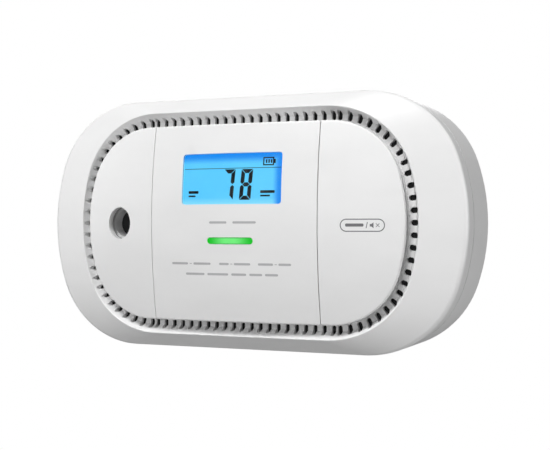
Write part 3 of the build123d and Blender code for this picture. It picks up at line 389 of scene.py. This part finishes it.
WHITE = linear(233, 233, 233)
materials = {
    "case_white": moulded("case_white", WHITE, 0.36),
    "panel_white": moulded("panel_white", WHITE, 0.33, depth=0.003),
    "clear_lens": clear_plastic(),
    "lcd_blue": lit_display(),
    "diffuser_white": moulded("diffuser_white", linear(240, 242, 244), 0.5),
    "light_green": lit_bar(),
    "board_green": board(),
    "black_plastic": moulded("black_plastic", linear(32, 32, 34), 0.42, variation=0.15),
    "black_foam": foam(),
    "mesh_dark": woven(),
    "brass": metal("brass", linear(214, 178, 106), 0.3, (1.0, 1.0, 6.0)),
    "sensor_steel": metal("sensor_steel", linear(188, 190, 192), 0.28, (6.0, 1.0, 6.0)),
    "tinned": metal("tinned", linear(206, 208, 210), 0.3, (1.0, 8.0, 1.0)),
    "screw_steel": metal("screw_steel", linear(176, 178, 182), 0.33, (5.0, 5.0, 1.0)),
    "capacitor_can": metal("capacitor_can", linear(196, 198, 202), 0.3, (4.0, 0.5, 4.0)),
    "copper_coil": wound(),
    "cell_wrap": cell_wrap(),
    "label_silver": foil_label(),
}
print_grey = moulded("print_grey", linear(176, 176, 178), 0.5, variation=0.06)
pill_grey = moulded("pill_grey", linear(112, 112, 114), 0.5, variation=0.06)
mark_black = moulded("mark_black", linear(2, 4, 10), 0.6, variation=0.2)

for part in frame["record"]["subparts"]:
    shown = nodes[part["node"]]
    shown.data.materials.clear()
    shown.data.materials.append(materials[part["material_slot"]])


# ---------------------------------------------------------------- marks laid on CAD faces

def front_of(node):
    """A function that finds the front surface of a CAD node at (x, z) in metres: point and normal."""
    tree = BVHTree.FromObject(nodes[node], bpy.context.evaluated_depsgraph_get())

    def find(x, z, side=-1.0):
        point, normal, _, _ = tree.ray_cast(Vector((x, side, z)), Vector((0.0, -side, 0.0)))
        return point, normal

    return find


def marks(name, outlines, node, body, material, lift, step=1.0, side=-1.0):
    """Thin closed patches of ink on a node's face. Outlines are lists of (x, z) in millimetres."""
    surface = front_of(node)
    bm = bmesh.new()
    for outline in outlines:
        bm.faces.new([bm.verts.new((x * MM, 0.0, z * MM)) for x, z in outline])
    lowest = min(v.co.x for v in bm.verts)
    highest = max(v.co.x for v in bm.verts)
    for index in range(1, math.ceil((highest - lowest) / (step * MM))):
        cut = (lowest + index * step * MM, 0.0, 0.0)
        geometry = bm.verts[:] + bm.edges[:] + bm.faces[:]
        bmesh.ops.bisect_plane(bm, geom=geometry, plane_co=cut, plane_no=(1.0, 0.0, 0.0), dist=1e-8)
    bmesh.ops.triangulate(bm, faces=bm.faces[:])
    grown = bmesh.ops.extrude_face_region(bm, geom=bm.faces[:])
    raised = {v for v in grown["geom"] if isinstance(v, bmesh.types.BMVert)}
    for vertex in bm.verts:
        point, normal = surface(vertex.co.x, vertex.co.z, side)
        vertex.co = point + normal * (lift if vertex in raised else -0.2 * lift)
    bmesh.ops.recalc_face_normals(bm, faces=bm.faces[:])
    mesh = bpy.data.meshes.new(name)
    bm.to_mesh(mesh)
    bm.free()
    piece = bpy.data.objects.new(name, mesh)
    bpy.context.scene.collection.objects.link(piece)
    mesh.materials.append(material)
    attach(piece, body)
    return piece


def arc(centre, radius, start, end, steps=8):
    """Points along an arc, angles in degrees."""
    turns = [math.radians(start + (end - start) * i / steps) for i in range(steps + 1)]
    return [(centre[0] + radius * math.cos(t), centre[1] + radius * math.sin(t)) for t in turns]


def bar(x0, x1, z, height, radius=0.3):
    """Bar with rounded corners."""
    r = min(radius, height / 2, (x1 - x0) / 2)
    top = z + height / 2 - r
    bottom = z - height / 2 + r
    return (
        arc((x1 - r, top), r, 0, 90, 4)
        + arc((x0 + r, top), r, 90, 180, 4)
        + arc((x0 + r, bottom), r, 180, 270, 4)
        + arc((x1 - r, bottom), r, 270, 360, 4)
    )


def line(a, b, width):
    """Straight stroke from a to b."""
    along = Vector((b[0] - a[0], b[1] - a[1])).normalized() * width / 2
    side = Vector((-along.y, along.x))
    return [
        (a[0] - side.x, a[1] - side.y),
        (b[0] - side.x, b[1] - side.y),
        (b[0] + side.x, b[1] + side.y),
        (a[0] + side.x, a[1] + side.y),
    ]


def stadium_stroke(centre, size, width):
    """Outline stroke of a pill, as quads between an outer and an inner stadium."""
    half = size[0] / 2 - size[1] / 2
    outer, inner = size[1] / 2, size[1] / 2 - width
    ends = ((centre[0] + half, -90, 90), (centre[0] - half, 90, 270))
    rings = [[p for x, a, b in ends for p in arc((x, centre[1]), r, a, b, 16)] for r in (outer, inner)]
    count = len(rings[0])
    return [
        [rings[0][i], rings[0][(i + 1) % count], rings[1][(i + 1) % count], rings[1][i]]
        for i in range(count)
    ]


def digit(left, segments):
    """Seven-segment digit with mitred, slightly slanted segments."""
    w, h = DIGIT_SIZE
    t = DIGIT_LINE
    g = DIGIT_GAP
    m = h / 2
    shapes = {
        "a": [(g, h), (w - g, h), (w - t - g, h - t), (t + g, h - t)],
        "d": [(g, 0), (t + g, t), (w - t - g, t), (w - g, 0)],
        "g": [(g + t / 2, m), (g + t, m + t / 2), (w - t - g, m + t / 2), (w - g - t / 2, m),
              (w - t - g, m - t / 2), (g + t, m - t / 2)],
        "b": [(w, h - g), (w - t, h - t - g), (w - t, m + t / 2 + g), (w - t / 2, m + g), (w, m + t / 2)],
        "c": [(w, g), (w, m - t / 2), (w - t / 2, m - g), (w - t, m - t / 2 - g), (w - t, t + g)],
        "f": [(0, h - g), (0, m + t / 2), (t / 2, m + g), (t, m + t / 2 + g), (t, h - t - g)],
        "e": [(0, g), (t, t + g), (t, m - t / 2 - g), (t / 2, m - g), (0, m - t / 2)],
    }
    return [
        [(left + x + DIGIT_SLANT * z, DIGIT_BOTTOM + z) for x, z in shapes[name]] for name in segments
    ]


def battery_sign(x0, x1, z0, z1):
    """Battery outline with three filled bars and a contact at its right."""
    t = 0.34
    body = x1 - 0.45
    strokes = [
        line((x0, z0 + t / 2), (body, z0 + t / 2), t),
        line((x0, z1 - t / 2), (body, z1 - t / 2), t),
        line((x0 + t / 2, z0 + t), (x0 + t / 2, z1 - t), t),
        line((body - t / 2, z0 + t), (body - t / 2, z1 - t), t),
        line((body, (z0 + z1) / 2), (x1, (z0 + z1) / 2), 1.1),
    ]
    first = x0 + 2 * t
    pitch = (body - t - first) / 3
    for index in range(3):
        middle = first + pitch * (index + 0.5) - 0.05
        strokes.append(line((middle, z0 + 1.9 * t), (middle, z1 - 1.9 * t), pitch * 0.6))
    return strokes


def display_marks():
    low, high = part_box("lcd_glass")
    edge = 0.35
    rule = line((low.x / MM + edge, DISPLAY_LINE_Z), (high.x / MM - edge, DISPLAY_LINE_Z), 0.16)
    shapes = [rule]
    for left, segments in DIGITS:
        shapes += digit(left, segments)
    shapes += battery_sign(9.15, 12.7, 15.2, 17.45)
    shapes += [bar(-12.9, -9.8, 8.3, 0.75, 0.2), bar(-12.9, -10.7, 7.25, 0.45, 0.15)]
    shapes += [bar(8.6, 12.7, 8.25, 0.75, 0.2), bar(8.6, 11.4, 7.2, 0.45, 0.15)]
    return marks(
        "display_marks", shapes, "lcd_glass", "housing", mark_black, MARK_LIFT
    )


def front_print():
    shapes = []
    for z, height, spans in PRINT_ROWS:
        shapes += [bar(x0, x1, z, height) for x0, x1 in spans]
    shapes += [bar(x - 0.35, x + 0.35, z, 0.2, 0.1) for x, z in PRINT_DASHES]
    return marks(
        "front_print", shapes, "front_cover", "housing", print_grey, PRINT_LIFT
    )


def panel_print():
    x, z = PILL_CENTRE
    shapes = stadium_stroke(PILL_CENTRE, PILL_SIZE, PILL_LINE)
    shapes.append(bar(x + PILL_BAR[0], x + PILL_BAR[1], z + 0.05, 0.8, 0.3))
    shapes.append(line((x + 1.0, z - 0.75), (x + 1.35, z + 0.85), 0.2))
    speaker = x + 1.95
    shapes.append(
        [
            (speaker, z - 0.32),
            (speaker + 0.4, z - 0.32),
            (speaker + 0.95, z - 0.75),
            (speaker + 0.95, z + 0.75),
            (speaker + 0.4, z + 0.32),
            (speaker, z + 0.32),
        ]
    )
    cross = x + 3.95
    shapes.append(line((cross - 0.45, z - 0.45), (cross + 0.45, z + 0.45), 0.17))
    shapes.append(line((cross - 0.45, z + 0.45), (cross + 0.45, z - 0.45), 0.17))
    return marks(
        "panel_print", shapes, "test_button", "test_button", pill_grey, PRINT_LIFT
    )


def label_print():
    low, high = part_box("rating_label")
    left = low.x / MM + 2.0
    right = high.x / MM - 2.0
    top = high.z / MM - 3.0
    shapes = []
    for row, share in enumerate((0.7, 1.0, 0.85, 1.0, 0.55, 0.9, 0.75)):
        z = top - row * 2.6
        shapes.append(bar(right - (right - left) * share, right, z, 0.8 if row else 1.4, 0.3))
    shapes += stadium_stroke(((left + right) / 2, low.z / MM + 5.0), (10.0, 3.4), 0.3)
    return marks(
        "label_print", shapes, "rating_label", "housing", pill_grey, PRINT_LIFT, side=1.0
    )


display_marks()
front_print()
panel_print()
label_print()


# ---------------------------------------------------------------- studio

def area_light(name, place, size, energy):
    data = bpy.data.lights.new(name, "AREA")
    data.shape = "RECTANGLE"
    data.size, data.size_y = size
    data.energy = energy
    light = bpy.data.objects.new(name, data)
    bpy.context.scene.collection.objects.link(light)
    light.location = place
    light.rotation_euler = (Vector(LIGHT_AIM) - Vector(place)).to_track_quat("-Z", "Y").to_euler()


def white_for_camera(tree, shade, output):
    """White to the camera, a softer level to every other ray."""
    path = tree.nodes.new("ShaderNodeLightPath")
    white = tree.nodes.new("ShaderNodeBackground" if shade.type == "BACKGROUND" else "ShaderNodeEmission")
    white.inputs["Color"].default_value = (1.0, 1.0, 1.0, 1.0)
    white.inputs["Strength"].default_value = 1.0
    mix = tree.nodes.new("ShaderNodeMixShader")
    tree.links.new(path.outputs["Is Camera Ray"], mix.inputs[0])
    tree.links.new(shade.outputs[0], mix.inputs[1])
    tree.links.new(white.outputs[0], mix.inputs[2])
    tree.links.new(mix.outputs[0], output.inputs["Surface"])


def studio():
    scene = bpy.context.scene
    scene.view_settings.view_transform = "Standard"
    world = bpy.data.worlds.new("studio")
    scene.world = world
    world.use_nodes = True
    tree = world.node_tree
    ambient = tree.nodes["Background"]
    ambient.inputs["Color"].default_value = (1.0, 1.0, 1.0, 1.0)
    ambient.inputs["Strength"].default_value = AMBIENT
    white_for_camera(tree, ambient, tree.nodes["World Output"])

    half = 3.0
    drop = -1.2
    mesh = bpy.data.meshes.new("floor")
    corners = [(-half, -half, drop), (half, -half, drop), (half, half, drop), (-half, half, drop)]
    mesh.from_pydata(corners, [], [(0, 1, 2, 3)])
    floor = bpy.data.objects.new("floor", mesh)
    scene.collection.objects.link(floor)
    pale = bpy.data.materials.new("floor_pale")
    pale.use_nodes = True
    shade = pale.node_tree.nodes["Principled BSDF"]
    shade.inputs["Base Color"].default_value = (0.85, 0.85, 0.85, 1.0)
    shade.inputs["Roughness"].default_value = 0.9
    output = pale.node_tree.nodes["Material Output"]
    white_for_camera(pale.node_tree, shade, output)
    mesh.materials.append(pale)

    for name, place, size, energy in LIGHTS:
        area_light(name, place, size, energy)


def camera():
    data = bpy.data.cameras.new("camera")
    data.lens = CAMERA_LENS
    data.sensor_width = 36.0
    data.clip_start = 0.01
    heading, rise = math.radians(CAMERA_HEADING), math.radians(CAMERA_RISE)
    direction = Vector(
        (-math.sin(heading) * math.cos(rise), math.cos(heading) * math.cos(rise), math.sin(rise))
    )
    seer = bpy.data.objects.new("camera", data)
    bpy.context.scene.collection.objects.link(seer)
    seer.location = Vector(CAMERA_AIM) - direction * CAMERA_DISTANCE
    seer.rotation_euler = direction.to_track_quat("-Z", "Y").to_euler()
    bpy.context.scene.camera = seer


studio()
camera()
